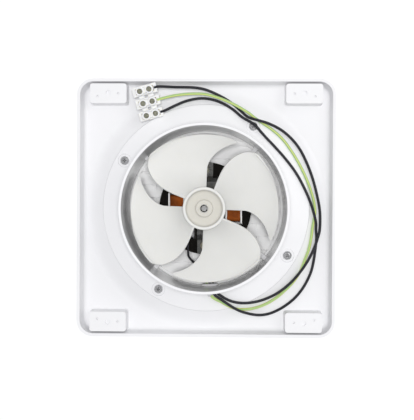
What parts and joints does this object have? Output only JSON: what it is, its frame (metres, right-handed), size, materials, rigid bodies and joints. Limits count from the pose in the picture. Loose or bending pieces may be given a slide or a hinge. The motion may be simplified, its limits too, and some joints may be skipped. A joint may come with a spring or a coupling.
{
  "type": "window exhaust fan",
  "caption": "Square exhaust fan with a rear duct spigot, a motor on radial arms, a bladed impeller, a louvred front and a loose terminal block.",
  "frame": {"origin": "middle of the front face, on the surface that the fan lies on", "axes": "+Z from the front face along the duct, towards the spigot's rear rim; +Y towards the side with the terminal block"},
  "size_m": [0.24, 0.24, 0.082],
  "materials": {
    "tray_plastic": "satin, cool white",
    "grille_plastic": "satin, white",
    "spigot_plastic": "satin, cool white",
    "impeller_plastic": "satin, ivory grey",
    "dark_steel": "zinc plated, dull",
    "spring_steel": "plain spring steel",
    "lamination_steel": "varnished black",
    "copper_winding": "enamelled copper wire",
    "copper_bar": "bare copper",
    "bobbin_plastic": "moulded nylon",
    "strap_steel": "pressed, plated",
    "bearing_bronze": "sintered bronze",
    "rotor_metal": "cast cage, turned",
    "shaft_steel": "ground",
    "lead_black": "satin insulation",
    "lead_earth": "green and yellow insulation",
    "gland_rubber": "matt",
    "block_plastic": "milky, slightly clear",
    "brass": "plated brass",
    "screw_steel": "zinc plated"
  },
  "bodies": {
    "housing": {"bobbin_left": "bobbin_plastic", "bobbin_right": "bobbin_plastic", "cable_gland": "gland_rubber", "coil_lead_left": "lead_black", "coil_lead_right": "lead_black", "coil_left": "copper_winding", "coil_right": "copper_winding", "duct_spigot": "spigot_plastic", "earth_lead_inner": "lead_earth", "earth_tag": "brass", "fascia_tray": "tray_plastic", "flange_screw_1": "dark_steel", "flange_screw_2": "dark_steel", "flange_screw_3": "dark_steel", "flange_screw_4": "dark_steel", "front_bearing": "bearing_bronze", "front_bearing_bridge": "strap_steel", "front_grille": "grille_plastic", "lead_black_a": "lead_black", "lead_black_b": "lead_black", "lead_earth": "lead_earth", "motor_bolt_1": "screw_steel", "motor_bolt_2": "screw_steel", "motor_nut_1": "screw_steel", "motor_nut_2": "screw_steel", "motor_screw_1": "screw_steel", "motor_screw_2": "screw_steel", "motor_screw_3": "screw_steel", "motor_screw_4": "screw_steel", "rear_bearing": "bearing_bronze", "rear_bearing_bridge": "strap_steel", "shading_ring_1": "copper_bar", "shading_ring_2": "copper_bar", "shading_ring_3": "copper_bar", "shading_ring_4": "copper_bar", "stator_core": "lamination_steel", "terminal_block": "block_plastic", "terminal_screw_1": "screw_steel", "terminal_screw_2": "screw_steel", "terminal_screw_3": "screw_steel", "terminal_screw_4": "screw_steel", "terminal_screw_5": "screw_steel", "terminal_screw_6": "screw_steel", "terminal_tube_1": "brass", "terminal_tube_2": "brass", "terminal_tube_3": "brass"},
    "rotor": {"impeller": "impeller_plastic", "impeller_clip": "spring_steel", "rotor_core": "rotor_metal", "shaft": "shaft_steel"}
  },
  "joints": [
    {"name": "impeller_spin", "type": "hinge", "parent": "housing", "child": "rotor", "pos_m": [0, 0, 0.06], "axis": [0, 0, 1], "continuous": true}
  ]
}
